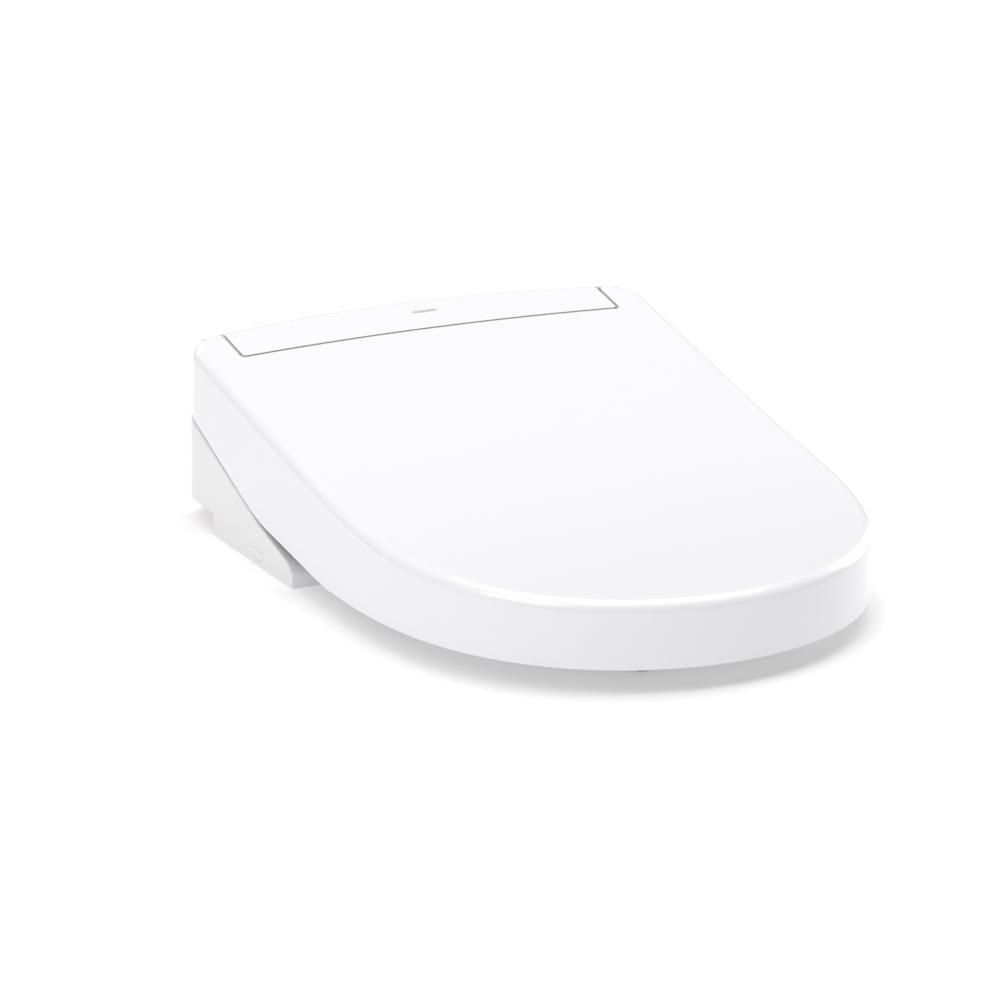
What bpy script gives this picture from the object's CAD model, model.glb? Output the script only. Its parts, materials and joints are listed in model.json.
import json

import bpy
import numpy as np
from bpy.props import FloatProperty, FloatVectorProperty, IntProperty, PointerProperty
from mathutils import Matrix, Vector


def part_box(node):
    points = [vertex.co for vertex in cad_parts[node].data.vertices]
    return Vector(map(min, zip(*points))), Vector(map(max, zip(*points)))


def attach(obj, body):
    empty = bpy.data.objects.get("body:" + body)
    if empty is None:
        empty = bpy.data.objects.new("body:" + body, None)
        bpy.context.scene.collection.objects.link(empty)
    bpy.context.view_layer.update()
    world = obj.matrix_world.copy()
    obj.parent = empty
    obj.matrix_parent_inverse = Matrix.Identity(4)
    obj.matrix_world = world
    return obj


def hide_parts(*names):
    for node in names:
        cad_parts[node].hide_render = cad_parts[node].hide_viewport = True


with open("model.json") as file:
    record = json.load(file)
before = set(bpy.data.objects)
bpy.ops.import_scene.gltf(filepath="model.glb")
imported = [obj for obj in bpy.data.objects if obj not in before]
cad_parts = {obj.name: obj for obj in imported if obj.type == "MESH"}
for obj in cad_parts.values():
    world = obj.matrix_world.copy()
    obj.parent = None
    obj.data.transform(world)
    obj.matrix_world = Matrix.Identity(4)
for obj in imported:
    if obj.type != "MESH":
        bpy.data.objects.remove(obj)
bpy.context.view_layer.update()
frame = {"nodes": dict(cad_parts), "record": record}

bl_info = {
    "name": "Electric Bidet Seat",
    "version": (1, 0, 0),
    "blender": (4, 5, 0),
    "location": "View3D > Sidebar > Bidet Seat",
    "description": "Builds the visible shells, finishes and studio of an electric bidet seat",
    "category": "Object",
}

# Everything is in metres, in the frame's axes: +Z up, the front of the seat towards -Y.
MM = 0.001

# ---- places taken from the frame ----
LID_LOW, LID_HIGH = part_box("lid_shell")
PANEL_LOW, PANEL_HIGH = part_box("top_panel")
RING_LOW, RING_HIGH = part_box("seat_top_shell")
CASE_LOW, CASE_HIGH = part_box("lower_case")
HALF_WIDTH = LID_HIGH.x
FRONT_Y = LID_LOW.y
REAR_Y = CASE_HIGH.y
SKIRT_Z = LID_LOW.z
PANEL_HALF = PANEL_HIGH.x
PANEL_SKIRT_Z = PANEL_LOW.z
RING_HALF = RING_HIGH.x

# ---- outline seen from above ----
TAPER_Y = -228 * MM  # the flanks start to turn in towards the nose here
NOSE_POWER = 2.6
REAR_SAGITTA = 19 * MM
BOW_R = (HALF_WIDTH**2 + REAR_SAGITTA**2) / (2 * REAR_SAGITTA)
BOW_Y = REAR_Y - BOW_R
CORNER_R = 30 * MM

# ---- top surface seen from the side ----
NOSE_TOP_Z = 66.5 * MM
FLAT_END_Y = -430 * MM
SWEEP_R = 1300 * MM
SWEEP_ANGLE = np.radians(11.6)

# ---- lower edge of the lid seen from the side: (y, extra slope) of each knee ----
SEAM_KNEES = ((-212 * MM, 0.1412), (-98 * MM, 0.2607))
SEAM_R = 150 * MM
# Inside this width the lid's rear wall ends at this height, which clears the seat's hinge ears.
HINGE_SLOT_X = 172.5 * MM
HINGE_SLOT_Z = 115.2 * MM

# ---- panel, ring and hinge ----
NOTCH_GAP = 1.35 * MM
TIGHT = 0.4 * MM  # last row of faces beside an edge, which keeps the shading flat up to it
PANEL_BOW = 6.5 * MM
PANEL_FRONT_Y = PANEL_LOW.y + PANEL_BOW
OPENING_Y = -298.5 * MM
OPENING_HALF = (105 * MM, 112.5 * MM)
ARCH_HALF = 72 * MM
ARCH_Z = 32 * MM
ARCH_Y = -211 * MM
HINGE_Y = 22 * MM
HINGE_Z = 119.5 * MM
KNUCKLE_X = (168 * MM, 176 * MM)

# ---- buffers on one side: x, y, radius ----
LID_BUFFERS = ((110 * MM, -385 * MM, 6 * MM), (140 * MM, -230 * MM, 6 * MM))
SEAT_BUFFERS = ((45 * MM, -410.5 * MM, 7 * MM), (122 * MM, -240 * MM, 8.5 * MM))


class BidetSeatSizes(bpy.types.PropertyGroup):
    """Sizes a maker would change without touching the frame"""

    wall: FloatProperty(
        name="Wall", description="Wall thickness of the moulded shells",
        default=3 * MM, min=1 * MM, unit="LENGTH",
    )
    edge: FloatProperty(
        name="Edge", description="Radius of the small round on every moulded rim",
        default=0.5 * MM, min=0.1 * MM, unit="LENGTH",
    )
    roll: FloatProperty(
        name="Roll", description="Radius of the roll between the lid's top and its sides",
        default=9 * MM, min=2 * MM, unit="LENGTH",
    )
    draft: FloatProperty(
        name="Draft", description="Inward lean of the side walls, as a slope",
        default=0.014, min=0.0, max=0.05, subtype="FACTOR",
    )
    dish: FloatProperty(
        name="Dish", description="How far the ring's sitting surface falls towards its opening",
        default=4.5 * MM, min=0.0, unit="LENGTH",
    )
    columns: IntProperty(
        name="Columns", description="Grid columns round a large shell",
        default=560, min=120, subtype="UNSIGNED",
    )


class BidetSeatFinish(bpy.types.PropertyGroup):
    """Colours and gloss of the visible finishes"""

    shell: FloatVectorProperty(
        name="Shell", description="Colour of the lid, panel and ring",
        default=(0.905, 0.905, 0.925), subtype="COLOR", min=0.0, max=1.0,
    )
    case: FloatVectorProperty(
        name="Case", description="Colour of the fixed case",
        default=(0.88, 0.875, 0.885), subtype="COLOR", min=0.0, max=1.0,
    )
    gloss: FloatProperty(
        name="Gloss", description="Roughness of the shell under its clear skin",
        default=0.22, min=0.02, max=0.9, subtype="FACTOR",
    )
    rubber: FloatVectorProperty(
        name="Rubber", description="Colour of the buffers",
        default=(0.50, 0.51, 0.52), subtype="COLOR", min=0.0, max=1.0,
    )


class BidetSeatStudio(bpy.types.PropertyGroup):
    """Strength of the studio's lights"""

    overhead: FloatProperty(
        name="Overhead", description="Power of the large light above",
        default=43.0, min=0.0, unit="POWER",
    )
    left: FloatProperty(
        name="Left", description="Power of the low light on the left",
        default=1.9, min=0.0, unit="POWER",
    )
    right: FloatProperty(
        name="Right", description="Power of the light on the right flank",
        default=17.0, min=0.0, unit="POWER",
    )
    front: FloatProperty(
        name="Front", description="Power of the light above the front left",
        default=21.5, min=0.0, unit="POWER",
    )
    rear: FloatProperty(
        name="Rear", description="Power of the light behind the seat",
        default=14.0, min=0.0, unit="POWER",
    )
    sky: FloatProperty(
        name="Sky", description="Strength of the white surroundings",
        default=0.31, min=0.0, subtype="FACTOR",
    )
    glow: FloatProperty(
        name="Floor glow", description="Light that the floor gives out by itself",
        default=0.22, min=0.0, subtype="FACTOR",
    )


# ------------------------------------------------------------------ shape formulas

def resampled(path, count):
    """Points spaced evenly along a dense path: each coordinate interpolated over the running length."""
    step = np.linalg.norm(np.diff(path, axis=0), axis=1)
    length = np.concatenate([[0], np.cumsum(step)])
    at = np.linspace(0, length[-1], count)
    return np.stack([np.interp(at, length, path[:, k]) for k in range(path.shape[1])], axis=1)


def mirrored(left):
    """The left half of an outline, then its mirror image back up the right side."""
    return np.concatenate([left, (left * (-1, 1))[-2::-1]])


def nose(half, depth, count=1500):
    """Quarter of a superellipse, from the left flank to the front: (x/half)^2 + (drop/depth)^power = 1."""
    turn = np.linspace(0, np.pi / 2, count)
    x = -half * np.cos(turn)
    y = TAPER_Y - depth * np.sin(turn) ** (2 / NOSE_POWER)
    return np.stack([x, y], axis=1)


def hood_outline(count):
    """Open outline of the lid from the panel's left side round the nose to its right side.

    Bowed rear arc, a corner arc tangent to it and to the flank, the straight flank, then the nose."""
    start_x = -(PANEL_HALF + NOTCH_GAP)
    centre_x = CORNER_R - HALF_WIDTH
    centre_y = BOW_Y + np.sqrt((BOW_R - CORNER_R) ** 2 - centre_x**2)
    lean = np.arcsin(-centre_x / (BOW_R - CORNER_R))
    bow = np.linspace(np.arcsin(-start_x / BOW_R), lean, 60)
    rear = np.stack([-BOW_R * np.sin(bow), BOW_Y + BOW_R * np.cos(bow)], axis=1)
    turn = np.linspace(np.pi / 2 + lean, np.pi, 400)
    corner = np.stack([centre_x + CORNER_R * np.cos(turn), centre_y + CORNER_R * np.sin(turn)], axis=1)
    left = np.concatenate([rear, corner[1:], nose(HALF_WIDTH, TAPER_Y - FRONT_Y)])
    return resampled(mirrored(left), count)


def outward(path):
    """Unit normals pointing out of an outline that runs anticlockwise."""
    along = np.gradient(path, axis=0)
    along /= np.linalg.norm(along, axis=1, keepdims=True)
    return np.stack([along[:, 1], -along[:, 0]], axis=1)


def top_height(y):
    """Height of the lid's top: flat nose, a circular sweep, then the straight slope tangent to it."""
    run = np.clip(y - FLAT_END_Y, 0, SWEEP_R * np.sin(SWEEP_ANGLE))
    arc = SWEEP_R - np.sqrt(SWEEP_R**2 - run**2)
    return NOSE_TOP_Z + arc + np.clip(y - FLAT_END_Y - run, 0, None) * np.tan(SWEEP_ANGLE)


def seam_height(y):
    """Height of the lid's lower edge: slopes added at each knee, each knee rounded by a short parabola."""
    z = np.full_like(y, SKIRT_Z)
    for knee, slope in SEAM_KNEES:
        reach = SEAM_R * slope / 2
        past = np.clip(y - knee, -reach, reach)
        z += slope * (past + reach) ** 2 / (4 * reach) + slope * np.clip(y - knee - reach, 0, None)
    return z


def smooth_step(value, low, high):
    """0 below low, 1 above high, with a smooth cubic between."""
    t = np.clip((value - low) / (high - low), 0, 1)
    return t * t * (3 - 2 * t)


# ------------------------------------------------------------------ meshes

def add_mesh(name, points, quads, triangles=None):
    """A smooth mesh from an array of points, one of four-cornered faces and one of triangles."""
    mesh = bpy.data.meshes.new(name)
    triangles = np.zeros((0, 3), int) if triangles is None else triangles
    sides = np.concatenate([np.full(len(quads), 4), np.full(len(triangles), 3)])
    corners = np.concatenate([quads.ravel(), triangles.ravel()])
    mesh.vertices.add(len(points))
    mesh.vertices.foreach_set("co", points.astype(np.float32).ravel())
    mesh.loops.add(len(corners))
    mesh.loops.foreach_set("vertex_index", corners.astype(np.int32))
    mesh.polygons.add(len(sides))
    mesh.polygons.foreach_set("loop_start", (np.cumsum(sides) - sides).astype(np.int32))
    mesh.polygons.foreach_set("use_smooth", np.ones(len(sides), bool))
    mesh.update(calc_edges=True)
    mesh.validate()
    piece = bpy.data.objects.new(name, mesh)
    bpy.context.scene.collection.objects.link(piece)
    return piece


def grid_quads(index, closed=False):
    """Faces of a grid of vertex numbers, wrapped round its first direction if closed."""
    if closed:
        index = np.concatenate([index, index[:1]])
    a, b = index[:-1, :-1], index[1:, :-1]
    c, d = index[1:, 1:], index[:-1, 1:]
    return np.stack([a, b, c, d], axis=-1).reshape(-1, 4)


def sheet_normals(sheet, closed):
    """Unit normals of a grid of points, from the cross product of its two directions."""
    if closed:
        wrapped = np.concatenate([sheet[-1:], sheet, sheet[:1]])
        along = (wrapped[2:] - wrapped[:-2]) / 2
    else:
        along = np.gradient(sheet, axis=0)
    across = np.gradient(sheet, axis=1)
    normal = np.cross(along, across)
    return normal / np.maximum(np.linalg.norm(normal, axis=2, keepdims=True), 1e-12)


def thick_shell(name, sheet, thickness, edge, closed=False):
    """A closed wall from a grid of outer points.

    The inner face is the outer one moved in by the thickness along its normals. Each open rim runs past the
    grid by the edge radius, turns a quarter, goes straight down and turns a quarter back."""
    columns, rows = sheet.shape[:2]
    normal = sheet_normals(sheet, closed)
    index = np.arange(columns * rows).reshape(columns, rows)
    outer = sheet.reshape(-1, 3)
    flat_normal = normal.reshape(-1, 3)
    inner = outer - flat_normal * thickness
    if closed:
        loops = [index[:, -1], index[::-1, 0]]
    else:
        loops = [np.concatenate([index[0, ::-1], index[1:, 0], index[-1, 1:], index[-2:0:-1, -1]])[::-1]]
    points = [outer, inner]
    quads = [grid_quads(index, closed), grid_quads(index, closed)[:, ::-1] + len(outer)]
    count = 2 * len(outer)
    turn = np.linspace(0, np.pi / 2, 5)[1:]
    for loop in loops:
        rim = outer[loop]
        down = -flat_normal[loop]
        ahead = np.roll(rim, -1, axis=0) - np.roll(rim, 1, axis=0)
        away = np.cross(ahead, -down)
        away /= np.maximum(np.linalg.norm(away, axis=1, keepdims=True), 1e-12)
        steps = [(edge * np.sin(t), edge * (1 - np.cos(t))) for t in turn]
        steps += [(out, thickness - fall) for out, fall in reversed(steps)]
        rings = np.stack([rim + away * out + down * fall for out, fall in steps], axis=1)
        ring_index = np.arange(rings.shape[0] * rings.shape[1]).reshape(rings.shape[:2]) + count
        strip = np.concatenate([loop[:, None], ring_index, loop[:, None] + len(outer)], axis=1)
        quads.append(grid_quads(strip, closed=True))
        points.append(rings.reshape(-1, 3))
        count += ring_index.size
    return add_mesh(name, np.concatenate(points), np.concatenate(quads))


def stacked(name, rings):
    """A closed solid from rings of points, one above the other, with a fan of triangles at each end."""
    turns, levels = rings.shape[:2]
    index = np.arange(turns * levels).reshape(turns, levels)
    ends = np.stack([rings[:, 0].mean(axis=0), rings[:, -1].mean(axis=0)])
    first, last = turns * levels, turns * levels + 1
    bottom = np.stack([np.roll(index[:, 0], -1), index[:, 0], np.full(turns, first)], axis=1)
    top = np.stack([index[:, -1], np.roll(index[:, -1], -1), np.full(turns, last)], axis=1)
    points = np.concatenate([rings.reshape(-1, 3), ends])
    return add_mesh(name, points, grid_quads(index, closed=True), np.concatenate([bottom, top]))


def finished(piece, body, slot, *nodes):
    """Put a new piece on its body, with its finish, in place of the nodes it stands for."""
    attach(piece, body)
    if nodes:
        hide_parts(*nodes)
    piece.data.materials.append(finish(slot))


# ------------------------------------------------------------------ materials

def new_group(name, inputs, outputs):
    """An empty shader node group with its sockets: inputs are (name, type, default), outputs (name, type)."""
    group = bpy.data.node_groups.new(name, "ShaderNodeTree")
    for label, kind, default in inputs:
        socket = group.interface.new_socket(label, in_out="INPUT", socket_type=kind)
        socket.default_value = default
    for label, kind in outputs:
        group.interface.new_socket(label, in_out="OUTPUT", socket_type=kind)
    source = group.nodes.new("NodeGroupInput")
    sink = group.nodes.new("NodeGroupOutput")
    return group, source, sink


def mapped(nodes, links, scale=(1, 1, 1)):
    """Object coordinates through a Mapping node."""
    place = nodes.new("ShaderNodeTexCoord")
    mapping = nodes.new("ShaderNodeMapping")
    mapping.inputs["Scale"].default_value = scale
    links.new(place.outputs["Object"], mapping.inputs["Vector"])
    return mapping.outputs["Vector"]


def noise(nodes, links, vector, scale, detail=3.0):
    """A noise texture's value."""
    node = nodes.new("ShaderNodeTexNoise")
    node.inputs["Detail"].default_value = detail
    links.new(vector, node.inputs["Vector"])
    if isinstance(scale, (int, float)):
        node.inputs["Scale"].default_value = scale
    else:
        links.new(scale, node.inputs["Scale"])
    return node.outputs["Fac"]


def remap(nodes, links, value, low, high):
    """A value from 0 to 1 carried to the range from low to high, which may be sockets."""
    node = nodes.new("ShaderNodeMapRange")
    links.new(value, node.inputs["Value"])
    for label, end in (("To Min", low), ("To Max", high)):
        if isinstance(end, (int, float)):
            node.inputs[label].default_value = end
        else:
            links.new(end, node.inputs[label])
    return node.outputs["Result"]


def surface_group():
    """Moulded skin: ripple and grain as a height, slow patches of gloss as a roughness, a colour drift."""
    if "Moulded Skin" in bpy.data.node_groups:
        return bpy.data.node_groups["Moulded Skin"]
    group, source, sink = new_group(
        "Moulded Skin",
        [
            ("Colour", "NodeSocketColor", (0.9, 0.9, 0.9, 1)),
            ("Shade", "NodeSocketColor", (0.85, 0.85, 0.85, 1)),
            ("Roughness", "NodeSocketFloat", 0.25),
            ("Spread", "NodeSocketFloat", 0.05),
            ("Grain Scale", "NodeSocketFloat", 900.0),
            ("Grain Share", "NodeSocketFloat", 0.5),
        ],
        [("Colour", "NodeSocketColor"), ("Roughness", "NodeSocketFloat"), ("Height", "NodeSocketFloat")],
    )
    nodes, links = group.nodes, group.links
    vector = mapped(nodes, links)
    patches = noise(nodes, links, vector, 9.0, 4.0)
    ripple = noise(nodes, links, vector, 45.0, 2.0)
    grain = noise(nodes, links, vector, source.outputs["Grain Scale"], 4.0)
    mix = nodes.new("ShaderNodeMix")
    mix.data_type = "RGBA"
    links.new(patches, mix.inputs["Factor"])
    links.new(source.outputs["Colour"], mix.inputs[6])
    links.new(source.outputs["Shade"], mix.inputs[7])
    low = nodes.new("ShaderNodeMath")
    low.operation = "SUBTRACT"
    high = nodes.new("ShaderNodeMath")
    high.operation = "ADD"
    for node in (low, high):
        links.new(source.outputs["Roughness"], node.inputs[0])
        links.new(source.outputs["Spread"], node.inputs[1])
    rough = remap(nodes, links, patches, low.outputs[0], high.outputs[0])
    height = nodes.new("ShaderNodeMix")
    links.new(source.outputs["Grain Share"], height.inputs["Factor"])
    links.new(ripple, height.inputs[2])
    links.new(grain, height.inputs[3])
    links.new(mix.outputs[2], sink.inputs["Colour"])
    links.new(rough, sink.inputs["Roughness"])
    links.new(height.outputs[0], sink.inputs["Height"])
    return group


def wear_group():
    """Edge wear: a mask that is 1 on sharp outside corners, broken up by noise."""
    if "Edge Wear" in bpy.data.node_groups:
        return bpy.data.node_groups["Edge Wear"]
    group, source, sink = new_group(
        "Edge Wear", [("Amount", "NodeSocketFloat", 0.5)], [("Mask", "NodeSocketFloat")]
    )
    nodes, links = group.nodes, group.links
    bend = nodes.new("ShaderNodeNewGeometry")
    ridge = nodes.new("ShaderNodeMapRange")
    ridge.inputs["From Min"].default_value = 0.52
    ridge.inputs["From Max"].default_value = 0.64
    links.new(bend.outputs["Pointiness"], ridge.inputs["Value"])
    spots = noise(nodes, links, mapped(nodes, links), 160.0, 5.0)
    broken = nodes.new("ShaderNodeMath")
    broken.operation = "MULTIPLY"
    links.new(ridge.outputs["Result"], broken.inputs[0])
    links.new(spots, broken.inputs[1])
    scaled = nodes.new("ShaderNodeMath")
    scaled.operation = "MULTIPLY"
    links.new(broken.outputs[0], scaled.inputs[0])
    links.new(source.outputs["Amount"], scaled.inputs[1])
    links.new(scaled.outputs[0], sink.inputs["Mask"])
    return group


def tone(colour, factor):
    """A colour made darker or lighter by a factor, as four numbers."""
    return tuple(min(1.0, max(0.0, c * factor)) for c in colour[:3]) + (1.0,)


def skin_material(name, colour, roughness, spread=0.05, grain=900.0, share=0.5, bump=0.02, shade=0.985,
                  coat=0.0, wear=0.0, metallic=0.0, worn=None, **constants):
    """A Principled surface fed by the moulded skin group, with edge wear mixed in where it is asked for."""
    material = bpy.data.materials.new(name)
    material.use_nodes = True
    nodes, links = material.node_tree.nodes, material.node_tree.links
    shader = nodes["Principled BSDF"]
    skin = nodes.new("ShaderNodeGroup")
    skin.node_tree = surface_group()
    skin.inputs["Colour"].default_value = tone(colour, 1.0)
    skin.inputs["Shade"].default_value = tone(colour, shade)
    skin.inputs["Roughness"].default_value = roughness
    skin.inputs["Spread"].default_value = spread
    skin.inputs["Grain Scale"].default_value = grain
    skin.inputs["Grain Share"].default_value = share
    colour_out = skin.outputs["Colour"]
    if wear:
        edge = nodes.new("ShaderNodeGroup")
        edge.node_tree = wear_group()
        edge.inputs["Amount"].default_value = wear
        mix = nodes.new("ShaderNodeMix")
        mix.data_type = "RGBA"
        links.new(edge.outputs["Mask"], mix.inputs["Factor"])
        links.new(colour_out, mix.inputs[6])
        mix.inputs[7].default_value = tone(worn or colour, 1.0 if worn else 1.15)
        colour_out = mix.outputs[2]
    links.new(colour_out, shader.inputs["Base Color"])
    links.new(skin.outputs["Roughness"], shader.inputs["Roughness"])
    lift = nodes.new("ShaderNodeBump")
    lift.inputs["Strength"].default_value = 1.0
    lift.inputs["Distance"].default_value = bump * MM
    links.new(skin.outputs["Height"], lift.inputs["Height"])
    links.new(lift.outputs["Normal"], shader.inputs["Normal"])
    shader.inputs["Metallic"].default_value = metallic
    shader.inputs["Coat Weight"].default_value = coat
    for label, value in constants.items():
        shader.inputs[label.replace("_", " ")].default_value = value
    return material


def board_material(name):
    """Coated circuit board: a brick pattern of tracks in lighter green and scattered tinned pads."""
    material = skin_material(name, (0.03, 0.16, 0.07), 0.35, bump=0.01, wear=0.2)
    nodes, links = material.node_tree.nodes, material.node_tree.links
    shader = nodes["Principled BSDF"]
    vector = mapped(nodes, links)
    tracks = nodes.new("ShaderNodeTexBrick")
    tracks.inputs["Scale"].default_value = 220.0
    tracks.inputs["Mortar Size"].default_value = 0.06
    tracks.inputs["Color1"].default_value = (0.03, 0.16, 0.07, 1)
    tracks.inputs["Color2"].default_value = (0.02, 0.12, 0.05, 1)
    tracks.inputs["Mortar"].default_value = (0.07, 0.3, 0.12, 1)
    links.new(vector, tracks.inputs["Vector"])
    pads = nodes.new("ShaderNodeTexVoronoi")
    pads.inputs["Scale"].default_value = 260.0
    links.new(vector, pads.inputs["Vector"])
    dots = nodes.new("ShaderNodeMapRange")
    dots.inputs["From Min"].default_value = 0.16
    dots.inputs["From Max"].default_value = 0.20
    dots.inputs["To Min"].default_value = 1.0
    dots.inputs["To Max"].default_value = 0.0
    links.new(pads.outputs["Distance"], dots.inputs["Value"])
    mix = nodes.new("ShaderNodeMix")
    mix.data_type = "RGBA"
    links.new(dots.outputs["Result"], mix.inputs["Factor"])
    links.new(tracks.outputs["Color"], mix.inputs[6])
    mix.inputs[7].default_value = (0.6, 0.58, 0.5, 1)
    links.new(mix.outputs[2], shader.inputs["Base Color"])
    return material


def drawn_metal(name, colour, roughness, scale):
    """Metal with fine lines along one direction: noise stretched by a Mapping node."""
    material = skin_material(name, colour, roughness, spread=0.08, metallic=1.0, bump=0.01, wear=0.4)
    nodes, links = material.node_tree.nodes, material.node_tree.links
    lines = noise(nodes, links, mapped(nodes, links, scale), 60.0, 6.0)
    lift = nodes.new("ShaderNodeBump")
    lift.inputs["Distance"].default_value = 0.01 * MM
    links.new(lines, lift.inputs["Height"])
    links.new(lift.outputs["Normal"], nodes["Principled BSDF"].inputs["Normal"])
    links.new(remap(nodes, links, lines, roughness - 0.08, roughness + 0.12),
              nodes["Principled BSDF"].inputs["Roughness"])
    return material


def make_finish(slot):
    """The material of one of the record's slots."""
    look = bpy.context.scene.bidet_finish
    shell, case, gloss = tuple(look.shell), tuple(look.case), look.gloss
    recipes = {
        "lid_white": lambda: skin_material(
            "Lid gloss", shell, gloss, spread=0.03, grain=1400.0, share=0.25, bump=0.006, shade=0.992,
            coat=0.35, Coat_Roughness=0.06),
        "panel_white": lambda: skin_material(
            "Panel gloss", tone(shell, 0.995), gloss + 0.03, spread=0.03, grain=1400.0, share=0.3,
            bump=0.006, shade=0.99, coat=0.3, Coat_Roughness=0.08),
        "seat_white": lambda: skin_material(
            "Ring satin gloss", tone(shell, 0.98), gloss + 0.06, spread=0.04, grain=1100.0, share=0.4,
            bump=0.008, shade=0.99, coat=0.25, Coat_Roughness=0.12),
        "case_white": lambda: skin_material(
            "Case fine satin", case, 0.34, spread=0.05, grain=1600.0, share=0.6, bump=0.012,
            shade=0.985, wear=0.05),
        "inner_case_white": lambda: skin_material(
            "Inner case satin", tone(case, 0.97), 0.40, spread=0.05, grain=1500.0, share=0.7, bump=0.02,
            shade=0.98, wear=0.05),
        "nozzle_white": lambda: skin_material(
            "Nozzle white", (0.86, 0.87, 0.885), 0.30, spread=0.05, grain=1200.0, share=0.4, bump=0.008,
            shade=0.98),
        "mark_grey": lambda: skin_material(
            "Printed mark", (0.55, 0.56, 0.58), 0.45, spread=0.04, grain=2000.0, share=0.7, bump=0.01,
            shade=0.95),
        "window_dark": lambda: skin_material(
            "Dark window", (0.012, 0.012, 0.015), 0.10, spread=0.03, grain=500.0, share=0.3, bump=0.004,
            shade=0.9, coat=0.5),
        "rubber_grey": lambda: skin_material(
            "Buffer rubber", tuple(look.rubber), 0.62, spread=0.08, grain=900.0, share=0.8, bump=0.05,
            shade=0.93, Sheen_Weight=0.1, Specular_IOR_Level=0.3),
        "plate_grey": lambda: skin_material(
            "Glass filled plate", (0.30, 0.31, 0.33), 0.55, spread=0.08, grain=700.0, share=0.9,
            bump=0.06, shade=0.88, wear=0.4),
        "steel": lambda: drawn_metal("Drawn steel", (0.62, 0.62, 0.63), 0.28, (0.15, 6, 6)),
        "brass_plated": lambda: drawn_metal("Plated brass", (0.78, 0.72, 0.58), 0.24, (4, 4, 0.4)),
        "motor_metal": lambda: skin_material(
            "Zinc can", (0.42, 0.43, 0.45), 0.42, spread=0.1, grain=300.0, share=0.7, bump=0.02,
            shade=0.85, metallic=0.9, wear=0.5),
        "mechanism_plastic": lambda: skin_material(
            "Natural acetal", (0.76, 0.76, 0.73), 0.42, spread=0.06, grain=1000.0, share=0.5, bump=0.02,
            shade=0.95, wear=0.15),
        "hose_clear": lambda: skin_material(
            "Silicone hose", (0.66, 0.69, 0.72), 0.40, spread=0.05, grain=600.0, share=0.5, bump=0.02,
            shade=0.92, Subsurface_Weight=0.2, Subsurface_Scale=0.003),
        "board_green": lambda: board_material("Circuit board"),
        "mica": lambda: skin_material(
            "Mica sheet", (0.52, 0.42, 0.28), 0.45, spread=0.15, grain=250.0, share=0.8, bump=0.03,
            shade=0.75, wear=0.3),
        "foil": lambda: drawn_metal("Heating foil", (0.75, 0.75, 0.76), 0.30, (3, 3, 1)),
        "filter_carbon": lambda: skin_material(
            "Carbon core", (0.06, 0.06, 0.065), 0.85, spread=0.1, grain=500.0, share=0.9, bump=0.15,
            shade=0.7),
    }
    return recipes[slot]()


FINISHES = {}


def finish(slot):
    """The slot's material, made once."""
    if slot not in FINISHES:
        FINISHES[slot] = make_finish(slot)
    return FINISHES[slot]


# ------------------------------------------------------------------ operators

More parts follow.
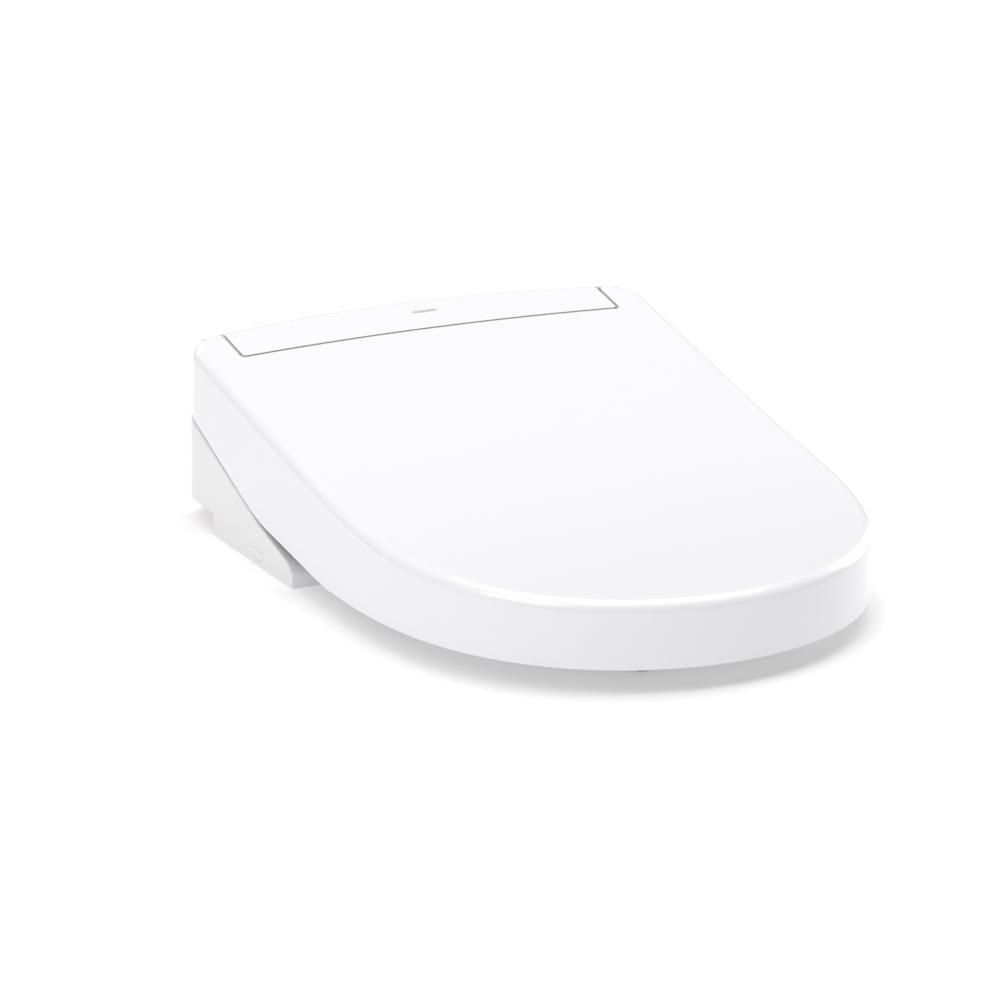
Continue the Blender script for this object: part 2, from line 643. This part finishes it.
class OBJECT_OT_bidet_lid(bpy.types.Operator):
    """Lid: rolled cover with its notch for the rear panel"""

    bl_idname = "object.bidet_lid"
    bl_label = "Lid"

    def execute(self, context):
        sizes = context.scene.bidet_sizes
        outline = hood_outline(sizes.columns)
        piece = thick_shell("lid_cover", self.sheet(outline, sizes), sizes.wall, sizes.edge)
        finished(piece, "lid", "lid_white", "lid_shell")
        return {"FINISHED"}

    def notch_path(self, outline, roll):
        """Inner edge of the lid's top, one point for each outline point: the notch's side, its rounded corner
        and its bowed front, matched to the outline so that the lines between them fan out evenly."""
        side_end, bend_end = 0.085, 0.125  # shares of the outline's length that the side and the corner take
        gap = PANEL_HALF + NOTCH_GAP + 0.5 * MM
        radius = 3.3 * MM
        front = PANEL_FRONT_Y - NOTCH_GAP
        rear_y = outline[0, 1] - roll - 2 * MM
        corner_y = front - PANEL_BOW
        turn = np.linspace(0, np.pi / 2, 60)
        side = np.stack([np.full(200, -gap), np.linspace(rear_y, corner_y + radius, 200)], axis=1)
        bend = np.stack([-gap + radius * (1 - np.cos(turn)), corner_y + radius * (1 - np.sin(turn))], axis=1)
        half = gap - radius
        x = -half * np.cos(np.linspace(0, np.pi / 2, 600))
        line = np.stack([x, front - PANEL_BOW * (x / half) ** 2], axis=1)
        parts = [side, bend[1:], line[1:]]
        path = np.concatenate(parts)
        share = np.concatenate([
            np.linspace(0, side_end, len(parts[0])),
            np.linspace(side_end, bend_end, len(parts[1]) + 1)[1:],
            np.linspace(bend_end, 1, len(parts[2]) + 1)[1:],
        ])
        step = np.linalg.norm(np.diff(outline, axis=0), axis=1)
        run = np.concatenate([[0], np.cumsum(step)])
        run = 1 - np.abs(2 * run / run[-1] - 1)
        found = np.stack([np.interp(run, share, path[:, k]) for k in range(2)], axis=1)
        right = np.arange(len(outline)) >= len(outline) // 2
        found[right, 0] *= -1
        return found

    def sheet(self, outline, sizes):
        """Outer skin as a grid: round the outline, and from its lower edge up, over the roll and inwards.

        Roll: inset = r(1 - cos a), height = top - r(1 - sin a). Top: straight lines to the notch."""
        roll = sizes.roll
        normal = outward(outline)
        blend = smooth_step(np.abs(outline[:, 0]), PANEL_HALF, PANEL_HALF + 12 * MM)
        behind = outline[:, 1] > HINGE_Y
        straight = np.where(behind, 1 - blend, 0)[:, None]
        inward = -(normal * (1 - straight) + np.array([0, 1]) * straight)
        inward /= np.linalg.norm(inward, axis=1, keepdims=True)
        low = seam_height(outline[:, 1]) + sizes.edge
        slot = behind & (np.abs(outline[:, 0]) < HINGE_SLOT_X)
        low = np.where(slot, HINGE_SLOT_Z, low)
        high = top_height(outline[:, 1]) - roll
        climb = np.concatenate([[0, 0.006], np.linspace(0, 1, 14)[1:]])
        wall_z = low[:, None] + (high - low)[:, None] * climb
        slope = sizes.draft * np.abs(normal[:, 0])
        lean = slope[:, None] * (wall_z - SKIRT_Z)
        wall = outline[:, None] + inward[:, None] * lean[..., None]
        turn = np.linspace(0, np.pi / 2, 18)[1:]
        inset = lean[:, -1:] + roll * (1 - np.cos(turn))
        bend = outline[:, None] + inward[:, None] * inset[..., None]
        bend_z = top_height(bend[..., 1]) - roll * (1 - np.sin(turn))
        inner = self.notch_path(outline, roll)
        reach = np.linalg.norm(inner - bend[:, -1], axis=1)[:, None, None]
        share = np.linspace(0, 1, 33)[1:, None] ** 1.15 * (1 - TIGHT / reach)
        share = np.concatenate([share, np.ones_like(share[:, :1])], axis=1)
        top = bend[:, -1][:, None] * (1 - share) + inner[:, None] * share
        plan = np.concatenate([wall, bend, top], axis=1)
        height = np.concatenate([wall_z, bend_z, top_height(top[..., 1])], axis=1)
        return np.concatenate([plan, height[..., None]], axis=2)


class OBJECT_OT_bidet_panel(bpy.types.Operator):
    """Rear panel that lies flush in the lid's notch"""

    bl_idname = "object.bidet_panel"
    bl_label = "Rear panel"

    def execute(self, context):
        sizes = context.scene.bidet_sizes
        edge, roll = sizes.edge, sizes.roll
        half, radius = PANEL_HALF - edge, 2.5 * MM
        turn = np.linspace(0, np.pi / 2, 10)
        left = -half + radius * (1 - np.sin(turn[::-1]))
        x = np.concatenate([left, np.linspace(radius - half, half - radius, 150)[1:-1], -left[::-1]])
        past = np.clip(np.abs(x) - (half - radius), 0, radius)
        front = PANEL_FRONT_Y + edge - PANEL_BOW * (x / half) ** 2 + radius - np.sqrt(radius**2 - past**2)
        rear = BOW_Y + np.sqrt(BOW_R**2 - x**2)
        share = np.concatenate([[0, 0.008], np.linspace(0, 1, 26)[1:]])
        flat_y = front[:, None] + (rear - roll - front)[:, None] * share
        bend = np.linspace(np.pi / 2, 0, 18)[1:]
        bend_y = rear[:, None] - roll * (1 - np.cos(bend))
        bend_z = top_height(bend_y) - roll * (1 - np.sin(bend))
        start = top_height(rear) - roll
        wall_z = start[:, None] + (PANEL_SKIRT_Z + edge - start)[:, None] * np.linspace(0, 1, 8)[1:]
        wall_y = np.broadcast_to(rear[:, None], wall_z.shape)
        y = np.concatenate([flat_y, bend_y, wall_y], axis=1)
        z = np.concatenate([top_height(flat_y), bend_z, wall_z], axis=1)
        sheet = np.stack([np.broadcast_to(x[:, None], y.shape), y, z], axis=2)
        piece = thick_shell("rear_panel", sheet, sizes.wall, edge)
        finished(piece, "case", "panel_white", "top_panel")
        return {"FINISHED"}


class OBJECT_OT_bidet_badge(bpy.types.Operator):
    """Plain raised bar on the rear panel"""

    bl_idname = "object.bidet_badge"
    bl_label = "Badge"

    def execute(self, context):
        low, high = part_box("panel_badge")
        centre = (low + high) / 2
        half = ((high.x - low.x) / 2, 1.6 * MM)
        turn = np.linspace(0, 2 * np.pi, 96, endpoint=False)
        level = [(0.0, -0.6), (0.0, 0.12), (0.04, 0.20), (0.14, 0.25), (0.5, 0.26)]
        power = 0.35
        flat_x = half[0] * np.sign(np.cos(turn)) * np.abs(np.cos(turn)) ** power
        flat_y = half[1] * np.sin(turn)
        shrink = np.array([1 - inset for inset, height in level])
        lift = np.array([height for inset, height in level]) * MM
        x = centre.x + flat_x[:, None] * (1 - (1 - shrink) * half[1] / half[0])
        y = centre.y + flat_y[:, None] * shrink
        rings = np.stack([x, y, top_height(y) + lift], axis=2)
        finished(stacked("panel_bar", rings), "case", "mark_grey", "panel_badge")
        return {"FINISHED"}


class OBJECT_OT_bidet_ring(bpy.types.Operator):
    """Sitting ring: crowned shell round the oval opening"""

    bl_idname = "object.bidet_ring"
    bl_label = "Seat ring"

    def outline(self, count):
        """Closed outline of the ring: the lid's outline moved in, with a straight rear and round corners."""
        inset = HALF_WIDTH - RING_HALF
        radius = 16 * MM
        rear = RING_HIGH.y
        turn = np.linspace(np.pi / 2, np.pi, 200)
        back = np.stack([np.linspace(0, radius - RING_HALF, 200), np.full(200, rear)], axis=1)
        centre = np.array([radius - RING_HALF, rear - radius])
        corner = centre + radius * np.stack([np.cos(turn), np.sin(turn)], axis=1)
        left = np.concatenate([back, corner[1:], nose(RING_HALF, TAPER_Y - FRONT_Y - inset)])
        return resampled(mirrored(left), count + 1)[:-1]

    def execute(self, context):
        """Across the ring: wall, outer roll, a face falling as the square of the way in, inner roll, wall."""
        sizes = context.scene.bidet_sizes
        outer = self.outline(int(sizes.columns * 0.75))
        angle = np.arctan2(outer[:, 1] - OPENING_Y, outer[:, 0])
        a, b = OPENING_HALF
        reach = a * b / np.hypot(b * np.cos(angle), a * np.sin(angle))
        inner = np.stack([reach * np.cos(angle), OPENING_Y + reach * np.sin(angle)], axis=1)
        width = np.linalg.norm(inner - outer, axis=1)
        outer_roll, inner_roll = 12 * MM, 9 * MM
        top, foot = RING_HIGH.z, RING_LOW.z + sizes.edge
        turn = np.linspace(0, np.pi / 2, 14)[1:]
        wall_rows = 6
        climb = np.linspace(0, 1, wall_rows)
        middle = np.linspace(0, 1, 24)[1:-1]
        span = np.concatenate([
            np.zeros((len(outer), wall_rows)),
            np.broadcast_to(outer_roll * (1 - np.cos(turn)), (len(outer), len(turn))),
            outer_roll + (width - outer_roll - inner_roll)[:, None] * middle,
            width[:, None] - inner_roll * (1 - np.cos(turn[::-1])),
            np.broadcast_to(width[:, None], (len(outer), wall_rows)),
        ], axis=1)
        share = span / width[:, None]
        crown = top - sizes.dish * share**2
        plan = outer[:, None] * (1 - share[..., None]) + inner[:, None] * share[..., None]
        ease = 1 * MM
        over_nozzle = smooth_step(plan[..., 1], ARCH_Y - ease, ARCH_Y + ease)
        over_nozzle *= 1 - smooth_step(np.abs(plan[..., 0]), ARCH_HALF - ease, ARCH_HALF + ease)
        low = foot + (ARCH_Z - RING_LOW.z) * over_nozzle
        drop = np.concatenate([
            np.zeros(wall_rows), outer_roll * (1 - np.sin(turn)), np.zeros(len(middle)),
            inner_roll * (1 - np.sin(turn[::-1])), np.zeros(wall_rows),
        ])
        z = crown - drop
        z[:, :wall_rows] = low[:, :1] + (crown[:, :1] - outer_roll - low[:, :1]) * climb
        z[:, -wall_rows:] = low[:, -1:] + (crown[:, -1:] - inner_roll - low[:, -1:]) * climb[::-1]
        sheet = np.concatenate([plan, z[..., None]], axis=2)
        piece = thick_shell("seat_ring", sheet, 3.3 * MM, sizes.edge, closed=True)
        finished(piece, "seat", "seat_white", "seat_top_shell")
        return {"FINISHED"}


class OBJECT_OT_bidet_buffers(bpy.types.Operator):
    """Soft buffers under the lid and under the ring"""

    bl_idname = "object.bidet_buffers"
    bl_label = "Buffers"

    def buffer(self, name, x, y, radius, low, high, dome):
        """A turned button: a domed lower face, a rounded shoulder, a waist and a flange at the top."""
        turn = np.linspace(0, 2 * np.pi, 48, endpoint=False)
        level = [
            (0.30, low), (0.62, low + 0.10 * dome), (0.84, low + 0.35 * dome), (0.95, low + 0.75 * dome),
            (1.0, low + 1.6 * dome), (1.0, low + 3 * dome), (0.90, low + 3.6 * dome), (0.90, high - 2 * dome),
            (1.0, high - 1.5 * dome), (1.0, high),
        ]
        r = radius * np.array([share for share, z in level])
        z = np.array([z for share, z in level])
        x = x + np.cos(turn)[:, None] * r
        y = y + np.sin(turn)[:, None] * r
        return stacked(name, np.stack([x, y, np.broadcast_to(z, x.shape)], axis=2))

    def execute(self, context):
        lid_nodes, seat_nodes = ["lid_bumpers"], ["seat_bumpers"]
        wall = context.scene.bidet_sizes.wall
        ring_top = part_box("lid_bumpers")[0].z
        for side, word in ((-1, "right"), (1, "left")):
            for row, (x, y, radius) in enumerate(LID_BUFFERS):
                high = float(top_height(np.array(y))) - wall
                piece = self.buffer(
                    f"lid_buffer_{word}_{row + 1}", side * x, y, radius, ring_top, high, 0.8 * MM)
                finished(piece, "lid", "rubber_grey", *lid_nodes)
                lid_nodes = []
            for row, (x, y, radius) in enumerate(SEAT_BUFFERS):
                piece = self.buffer(
                    f"seat_buffer_{word}_{row + 1}", side * x, y, radius, 0.0, RING_LOW.z, 1.0 * MM)
                finished(piece, "seat", "rubber_grey", *seat_nodes)
                seat_nodes = []
        return {"FINISHED"}


class OBJECT_OT_bidet_knuckles(bpy.types.Operator):
    """Hinge knuckles under the lid's rear corners"""

    bl_idname = "object.bidet_knuckles"
    bl_label = "Lid knuckles"

    def execute(self, context):
        """Side view: a round boss that runs straight up into the lid. It is carried across, ends rounded."""
        radius, edge = 8.4 * MM, 0.8 * MM
        low, high = KNUCKLE_X
        turn = np.linspace(np.pi, 2 * np.pi, 40)
        boss = np.stack([HINGE_Y + radius * np.cos(turn), HINGE_Z + radius * np.sin(turn)], axis=1)
        roof = top_height(np.array([HINGE_Y + radius, HINGE_Y - radius])) - 1 * MM
        rise = np.linspace(0, 1, 12)[1:]
        rear_z = HINGE_Z + (roof[0] - HINGE_Z) * rise
        front_z = HINGE_Z + (roof[1] - HINGE_Z) * rise[::-1]
        rear = np.stack([np.full_like(rise, HINGE_Y + radius), rear_z], axis=1)
        front = np.stack([np.full_like(rise, HINGE_Y - radius), front_z], axis=1)
        profile = np.concatenate([boss, rear, front])
        normal = outward(profile)
        quarter = np.linspace(0, np.pi / 2, 5)
        inset = np.concatenate([edge * (1 - np.sin(quarter)), edge * (1 - np.sin(quarter[::-1]))])
        out = edge * (1 - np.cos(quarter))
        along = np.concatenate([low + out, high - out[::-1]])
        for side, word in ((-1, "right"), (1, "left")):
            yz = profile[:, None] - normal[:, None] * inset[None, :, None]
            x = np.broadcast_to(side * along, yz.shape[:2])
            rings = np.concatenate([x[..., None], yz], axis=2)
            piece = stacked(f"lid_knuckle_{word}", rings if side > 0 else rings[::-1])
            finished(piece, "lid", "lid_white")
        return {"FINISHED"}


class OBJECT_OT_bidet_fittings(bpy.types.Operator):
    """Threaded water inlet and ribbed cord collar under the rear corners"""

    bl_idname = "object.bidet_fittings"
    bl_label = "Water and cord fittings"

    def turned(self, name, x, y, profile, count=96):
        """A section turned about an upright axis: profile gives its radii and heights at each angle."""
        turn = np.linspace(0, 2 * np.pi, count, endpoint=False)
        radius, z = profile(turn[:, None])
        points = np.stack([x + np.cos(turn)[:, None] * radius, y + np.sin(turn)[:, None] * radius, z], axis=2)
        index = np.arange(points.shape[0] * points.shape[1]).reshape(points.shape[:2])
        wrapped = np.concatenate([index, index[:, :1]], axis=1)
        return add_mesh(name, points.reshape(-1, 3), grid_quads(wrapped, closed=True))

    def execute(self, context):
        low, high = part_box("water_inlet")
        centre = (low + high) / 2
        gland_low, gland_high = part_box("cord_gland")
        gland = (gland_low + gland_high) / 2
        pitch, major, depth = 1.814 * MM, 10.45 * MM, 1.0 * MM

        def inlet(turn):
            """Bore, collar and stub, with the thread as a rounded saw of height depth along the stub."""
            thread_z = np.linspace(low.z + 0.4 * MM, low.z + 13.5 * MM, 140)
            wave = 0.5 + 0.5 * np.cos(2 * np.pi * (thread_z / pitch) - turn)
            thread_r = major - depth * wave**0.8
            ones = np.ones_like(turn)
            after_r = ones * np.array([9.4, 9.4, 12.6, 13.0, 13.0, 12.6, 6.5, 6.5]) * MM
            after_z = ones * np.array([
                low.z + 14.0 * MM, high.z - 3.9 * MM, high.z - 3.9 * MM, high.z - 3.5 * MM,
                high.z - 0.4 * MM, high.z, high.z, low.z,
            ])
            start_r, start_z = ones * np.array([9.1 * MM]), ones * np.array([low.z])
            radius = np.concatenate([start_r, thread_r, after_r], axis=1)
            z = np.concatenate([start_z, np.broadcast_to(thread_z, thread_r.shape), after_z], axis=1)
            return radius, z

        def collar(turn):
            """Ribbed sleeve, groove and flange: rib = height of the rib * cos(2 pi z / spacing)."""
            z = np.linspace(gland_low.z, gland_high.z, 70)
            sleeve = z < gland_low.z + 9.8 * MM
            flange = z > gland_low.z + 13.2 * MM
            base = np.where(sleeve, 7.6, 6.3) + np.where(flange, 2.6, 0)
            rib = np.where(sleeve, 0.35, 0) * np.cos(2 * np.pi * z / (2.4 * MM))
            outer = (base + rib) * MM
            radius = np.concatenate([outer, [3.6 * MM, 3.6 * MM]])
            height = np.concatenate([z, [gland_high.z, gland_low.z]])
            shape = (len(turn), len(radius))
            return np.broadcast_to(radius, shape), np.broadcast_to(height, shape)

        stub = self.turned("inlet_stub", centre.x, centre.y, inlet)
        finished(stub, "case", "brass_plated", "water_inlet")
        sleeve = self.turned("cord_collar", gland.x, gland.y, collar)
        finished(sleeve, "case", "rubber_grey", "cord_gland")
        return {"FINISHED"}


class OBJECT_OT_bidet_finishes(bpy.types.Operator):
    """Finish of every frame part that stays visible"""

    bl_idname = "object.bidet_finishes"
    bl_label = "Frame finishes"

    def execute(self, context):
        for part in frame["record"]["subparts"]:
            piece = frame["nodes"][part["node"]]
            if piece.hide_render:
                continue
            piece.data.materials.clear()
            piece.data.materials.append(finish(part["material_slot"]))
        return {"FINISHED"}


class OBJECT_OT_bidet_studio(bpy.types.Operator):
    """Camera, soft lights and pale floor"""

    bl_idname = "object.bidet_studio"
    bl_label = "Studio"

    target = Vector((0.0, -213 * MM, 50 * MM))
    distance = 3.7292
    azimuth, elevation, roll = np.radians((-28.728, 18.523, 1.315))
    white = (1.0, 1.0, 1.0)
    blush = (1.0, 0.965, 0.975)

    def camera(self, scene):
        """Long lens from the front right of the sitter, a little above: turned by the azimuth about Z, by the
        elevation about X and by the roll about its own axis, then moved back by the distance."""
        data = bpy.data.cameras.new("Camera")
        data.sensor_width = 36.0
        data.lens = 185.43
        data.shift_x = -0.0637
        data.shift_y = 0.0085
        data.clip_end = 50.0
        view = bpy.data.objects.new("Camera", data)
        turn = (Matrix.Rotation(self.azimuth, 4, "Z") @ Matrix.Rotation(np.pi / 2 - self.elevation, 4, "X")
                @ Matrix.Rotation(self.roll, 4, "Z"))
        back = Matrix.Translation((0, 0, self.distance))
        view.matrix_world = Matrix.Translation(self.target) @ turn @ back
        scene.collection.objects.link(view)
        scene.camera = view

    def area(self, scene, name, place, size, power, colour):
        """A rectangular soft light aimed at the seat."""
        data = bpy.data.lights.new(name, "AREA")
        data.shape = "RECTANGLE"
        data.size, data.size_y = size
        data.energy = power
        data.color = colour
        lamp = bpy.data.objects.new(name, data)
        aim = self.target - Vector(place)
        lamp.matrix_world = Matrix.Translation(place) @ aim.to_track_quat("-Z", "Y").to_matrix().to_4x4()
        scene.collection.objects.link(lamp)

    def floor(self, scene):
        """Square pale floor just under the seat."""
        half, drop = 8.0, 0.4 * MM
        corners = half * np.array([(-1, -1), (1, -1), (1, 1), (-1, 1)])
        level = np.full((4, 1), -drop)
        piece = add_mesh("studio_floor", np.hstack([corners, level]), np.array([[0, 1, 2, 3]]))
        piece.data.materials.append(skin_material(
            "Pale floor", (0.82, 0.82, 0.82), 0.9, bump=0.0, shade=0.995, Specular_IOR_Level=0.0,
            Emission_Color=(1, 1, 1, 1), Emission_Strength=scene.bidet_studio.glow))

    def execute(self, context):
        scene = context.scene
        scene.view_settings.view_transform = "Standard"
        self.camera(scene)
        self.floor(scene)
        studio = scene.bidet_studio
        self.area(scene, "Overhead", (0.3, -0.2, 2.4), (2.6, 2.6), studio.overhead, self.white)
        self.area(scene, "Left", (-2.4, -0.7, 0.7), (1.4, 1.2), studio.left, self.blush)
        self.area(scene, "Right", (2.2, 0.4, 0.8), (1.5, 1.4), studio.right, self.white)
        self.area(scene, "Front left", (-1.8, -0.9, 2.1), (1.6, 1.4), studio.front, self.blush)
        self.area(scene, "Rear", (-0.3, 2.6, 1.5), (1.8, 0.9), studio.rear, self.white)
        world = bpy.data.worlds.new("Studio")
        world.use_nodes = True
        world.node_tree.nodes["Background"].inputs["Color"].default_value = (1, 1, 1, 1)
        world.node_tree.nodes["Background"].inputs["Strength"].default_value = studio.sky
        scene.world = world
        return {"FINISHED"}


STEPS = (
    OBJECT_OT_bidet_lid,
    OBJECT_OT_bidet_panel,
    OBJECT_OT_bidet_badge,
    OBJECT_OT_bidet_ring,
    OBJECT_OT_bidet_buffers,
    OBJECT_OT_bidet_knuckles,
    OBJECT_OT_bidet_fittings,
    OBJECT_OT_bidet_finishes,
    OBJECT_OT_bidet_studio,
)


class VIEW3D_PT_bidet_seat(bpy.types.Panel):
    """Sizes, finishes and steps of the bidet seat"""

    bl_idname = "VIEW3D_PT_bidet_seat"
    bl_label = "Bidet Seat"
    bl_space_type = "VIEW_3D"
    bl_region_type = "UI"
    bl_category = "Bidet Seat"

    def draw(self, context):
        scene = context.scene
        for group in (scene.bidet_sizes, scene.bidet_finish, scene.bidet_studio):
            box = self.layout.box()
            for name in group.__annotations__:
                box.prop(group, name)
        for step in STEPS:
            self.layout.operator(step.bl_idname)


CLASSES = (BidetSeatSizes, BidetSeatFinish, BidetSeatStudio, *STEPS, VIEW3D_PT_bidet_seat)


def register():
    """Register the classes and hang their settings on the scene."""
    for cls in CLASSES:
        bpy.utils.register_class(cls)
    bpy.types.Scene.bidet_sizes = PointerProperty(type=BidetSeatSizes)
    bpy.types.Scene.bidet_finish = PointerProperty(type=BidetSeatFinish)
    bpy.types.Scene.bidet_studio = PointerProperty(type=BidetSeatStudio)


def unregister():
    """Take the settings and classes away again."""
    del bpy.types.Scene.bidet_studio
    del bpy.types.Scene.bidet_finish
    del bpy.types.Scene.bidet_sizes
    for cls in reversed(CLASSES):
        bpy.utils.unregister_class(cls)


def main():
    """Build every piece in order."""
    register()
    bpy.ops.object.bidet_lid()
    bpy.ops.object.bidet_panel()
    bpy.ops.object.bidet_badge()
    bpy.ops.object.bidet_ring()
    bpy.ops.object.bidet_buffers()
    bpy.ops.object.bidet_knuckles()
    bpy.ops.object.bidet_fittings()
    bpy.ops.object.bidet_finishes()
    bpy.ops.object.bidet_studio()


if __name__ == "__main__":
    main()
